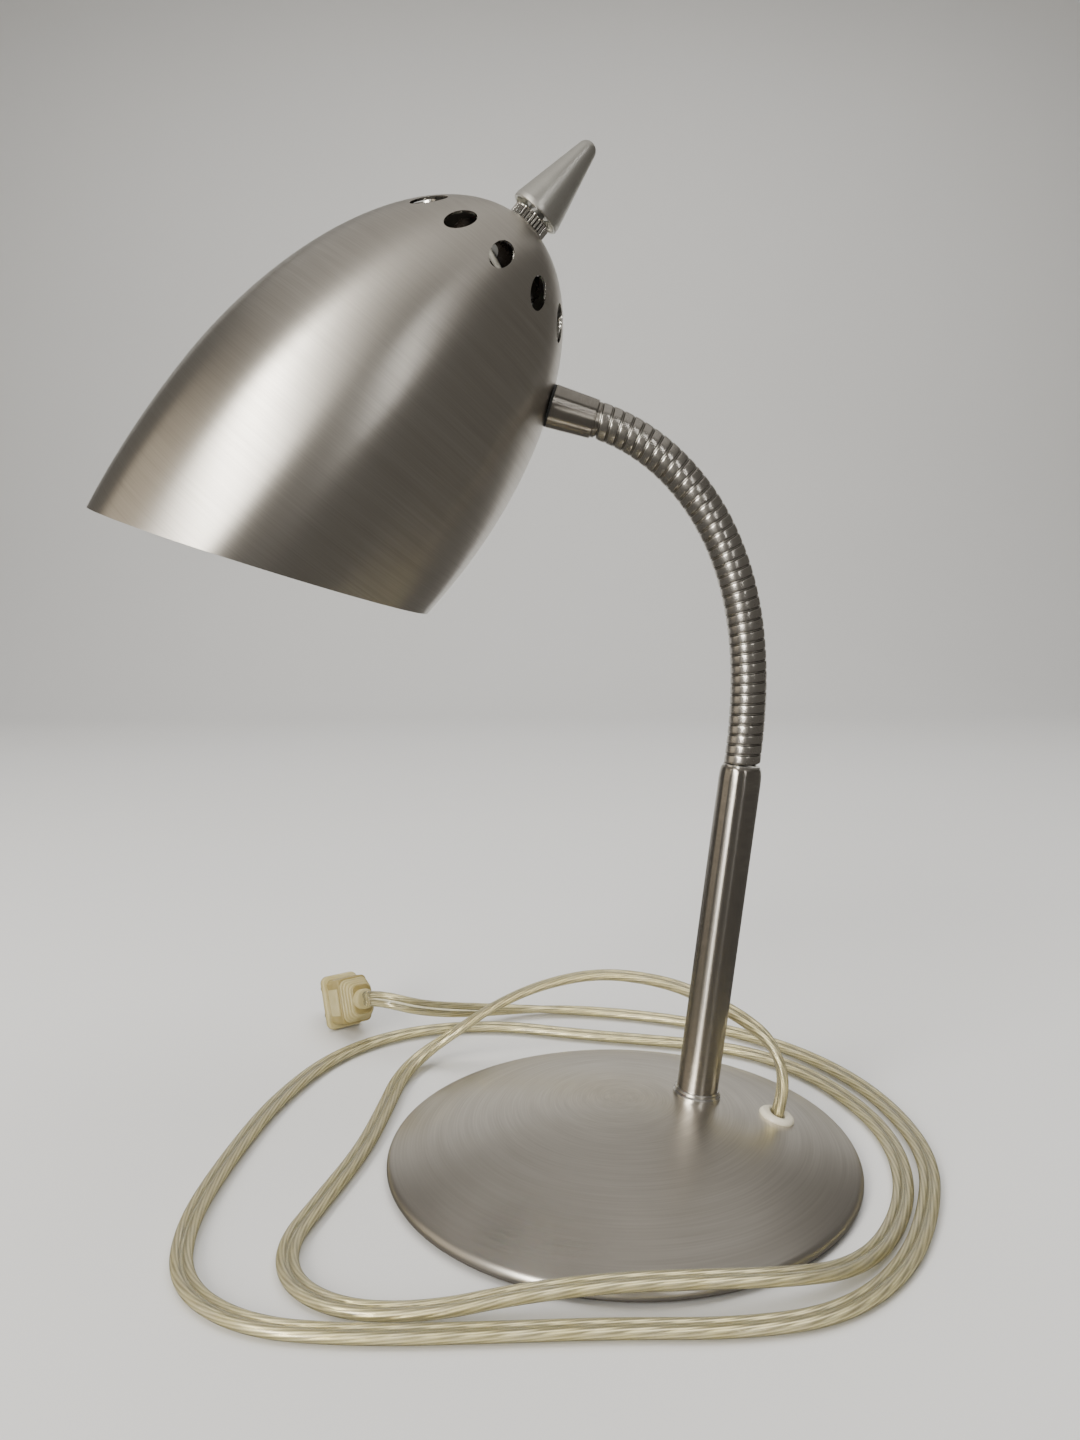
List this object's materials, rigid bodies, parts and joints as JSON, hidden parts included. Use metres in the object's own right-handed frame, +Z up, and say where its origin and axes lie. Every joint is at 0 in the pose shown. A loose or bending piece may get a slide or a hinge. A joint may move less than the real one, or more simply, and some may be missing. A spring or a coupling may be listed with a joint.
{
  "type": "gooseneck desk lamp",
  "caption": "Desk lamp with a domed round base, leaning stem, coiled gooseneck, vented bullet shade, cone switch knob and a flat cord with plug.",
  "frame": {"origin": "centre of the foot pad's underside, on the table", "axes": "+Z up; the shade looks toward -Y and down, the knob points toward +Y; +X is the front"},
  "size_m": [0.2441, 0.294, 0.3556],
  "materials": {
    "nickel_shell": "satin nickel, brushed round the axis",
    "iron": "rough cast",
    "cover_board": "pressed fibre",
    "felt": "soft dark pad",
    "polished_steel": "polished nickel-chrome",
    "zinc_steel": "zinc plated",
    "coil_steel": "satin chrome coil",
    "grommet_cream": "cream nylon",
    "cord_gold": "clear gold vinyl over copper",
    "plug_gold": "clear gold vinyl",
    "blade_metal": "nickel-washed brass",
    "gasket_black": "black",
    "nickel_shade": "satin nickel, brushed round the axis",
    "phenolic": "black moulded phenolic",
    "lining": "fibre liner",
    "socket_metal": "rolled screw shell",
    "brass": "plain brass",
    "lead_cover": "wire insulation",
    "bulb_glass": "frosted",
    "knob_metal": "satin chrome"
  },
  "bodies": {
    "base": {"base_shell": "nickel_shell", "base_weight": "iron", "bottom_cover": "cover_board", "foot_pad": "felt", "stem_tube": "polished_steel", "stem_collar": "polished_steel", "stem_insert": "zinc_steel", "base_nipple": "zinc_steel", "base_washer": "zinc_steel", "base_nut": "zinc_steel", "cord_grommet": "grommet_cream", "neck_socket": "polished_steel", "supply_cord": "cord_gold", "plug_body": "plug_gold", "plug_blade_upper": "blade_metal", "plug_blade_lower": "blade_metal"},
    "neck_link_01": {"neck_link_01": "coil_steel"},
    "neck_link_02": {"neck_link_02": "coil_steel"},
    "neck_link_03": {"neck_link_03": "coil_steel"},
    "neck_link_04": {"neck_link_04": "coil_steel"},
    "neck_link_05": {"neck_link_05": "coil_steel"},
    "neck_link_06": {"neck_link_06": "coil_steel"},
    "neck_link_07": {"neck_link_07": "coil_steel"},
    "neck_link_08": {"neck_link_08": "coil_steel"},
    "neck_link_09": {"neck_link_09": "coil_steel"},
    "neck_link_10": {"neck_link_10": "coil_steel"},
    "neck_link_11": {"neck_link_11": "coil_steel"},
    "neck_link_12": {"neck_link_12": "coil_steel"},
    "neck_link_13": {"neck_link_13": "coil_steel"},
    "head": {"head_ferrule": "polished_steel", "ferrule_gasket": "gasket_black", "ferrule_nipple": "zinc_steel", "ferrule_washer": "zinc_steel", "ferrule_nut": "zinc_steel", "shade": "nickel_shade", "ring_nut": "polished_steel", "switch_bushing": "zinc_steel", "switch_housing": "phenolic", "terminal_screw_front": "brass", "terminal_screw_back": "brass", "lead_live": "lead_cover", "lead_neutral": "lead_cover", "socket_insulator": "lining", "socket_shell": "socket_metal", "centre_contact": "brass", "bulb_base": "socket_metal", "bulb_globe": "bulb_glass"},
    "knob": {"knob": "knob_metal", "switch_shaft": "brass"}
  },
  "joints": [
    {"name": "neck_bend_01", "type": "hinge", "parent": "base", "child": "neck_link_01", "pos_m": [-0.006, 0.04292, 0.14447], "axis": [1, 0, 0], "range_deg": [-8, 4]},
    {"name": "neck_bend_02", "type": "hinge", "parent": "neck_link_01", "child": "neck_link_02", "pos_m": [-0.006, 0.04408, 0.15524], "axis": [1, 0, 0], "range_deg": [-8, 4]},
    {"name": "neck_sway_03", "type": "hinge", "parent": "neck_link_02", "child": "neck_link_03", "pos_m": [-0.006, 0.04473, 0.16605], "axis": [0, 0.9997, -0.024], "range_deg": [-7, 7]},
    {"name": "neck_bend_04", "type": "hinge", "parent": "neck_link_03", "child": "neck_link_04", "pos_m": [-0.006, 0.04477, 0.17688], "axis": [1, 0, 0], "range_deg": [-8, 4]},
    {"name": "neck_bend_05", "type": "hinge", "parent": "neck_link_04", "child": "neck_link_05", "pos_m": [-0.006, 0.04407, 0.18768], "axis": [1, 0, 0], "range_deg": [-8, 4]},
    {"name": "neck_sway_06", "type": "hinge", "parent": "neck_link_05", "child": "neck_link_06", "pos_m": [-0.006, 0.04253, 0.1984], "axis": [0, 0.9799, 0.1996], "range_deg": [-7, 7]},
    {"name": "neck_bend_07", "type": "hinge", "parent": "neck_link_06", "child": "neck_link_07", "pos_m": [-0.006, 0.04004, 0.20894], "axis": [1, 0, 0], "range_deg": [-8, 4]},
    {"name": "neck_bend_08", "type": "hinge", "parent": "neck_link_07", "child": "neck_link_08", "pos_m": [-0.006, 0.03651, 0.21917], "axis": [1, 0, 0], "range_deg": [-8, 4]},
    {"name": "neck_sway_09", "type": "hinge", "parent": "neck_link_08", "child": "neck_link_09", "pos_m": [-0.006, 0.03186, 0.22895], "axis": [0, 0.8667, 0.4989], "range_deg": [-7, 7]},
    {"name": "neck_bend_10", "type": "hinge", "parent": "neck_link_09", "child": "neck_link_10", "pos_m": [-0.006, 0.02608, 0.2381], "axis": [1, 0, 0], "range_deg": [-8, 4]},
    {"name": "neck_bend_11", "type": "hinge", "parent": "neck_link_10", "child": "neck_link_11", "pos_m": [-0.006, 0.01913, 0.2464], "axis": [1, 0, 0], "range_deg": [-8, 4]},
    {"name": "neck_sway_12", "type": "hinge", "parent": "neck_link_11", "child": "neck_link_12", "pos_m": [-0.006, 0.01108, 0.25362], "axis": [0, 0.5896, 0.8077], "range_deg": [-7, 7]},
    {"name": "neck_bend_13", "type": "hinge", "parent": "neck_link_12", "child": "neck_link_13", "pos_m": [-0.006, 0.00201, 0.25953], "axis": [1, 0, 0], "range_deg": [-8, 4]},
    {"name": "neck_bend_14", "type": "hinge", "parent": "neck_link_13", "child": "head", "pos_m": [-0.006, -0.00789, 0.26388], "axis": [1, 0, 0], "range_deg": [-8, 4]},
    {"name": "switch_turn", "type": "hinge", "parent": "head", "child": "knob", "pos_m": [-0.006, -0.03277, 0.32849], "axis": [0, 0.6483, 0.7614], "continuous": true}
  ],
  "couplings": [
    {"joint": "neck_bend_02", "follows": "neck_bend_01", "ratio": 1},
    {"joint": "neck_bend_04", "follows": "neck_bend_01", "ratio": 1},
    {"joint": "neck_bend_05", "follows": "neck_bend_01", "ratio": 1},
    {"joint": "neck_sway_06", "follows": "neck_sway_03", "ratio": 1},
    {"joint": "neck_bend_07", "follows": "neck_bend_01", "ratio": 1},
    {"joint": "neck_bend_08", "follows": "neck_bend_01", "ratio": 1},
    {"joint": "neck_sway_09", "follows": "neck_sway_03", "ratio": 1},
    {"joint": "neck_bend_10", "follows": "neck_bend_01", "ratio": 1},
    {"joint": "neck_bend_11", "follows": "neck_bend_01", "ratio": 1},
    {"joint": "neck_sway_12", "follows": "neck_sway_03", "ratio": 1},
    {"joint": "neck_bend_13", "follows": "neck_bend_01", "ratio": 1},
    {"joint": "neck_bend_14", "follows": "neck_bend_01", "ratio": 1}
  ]
}
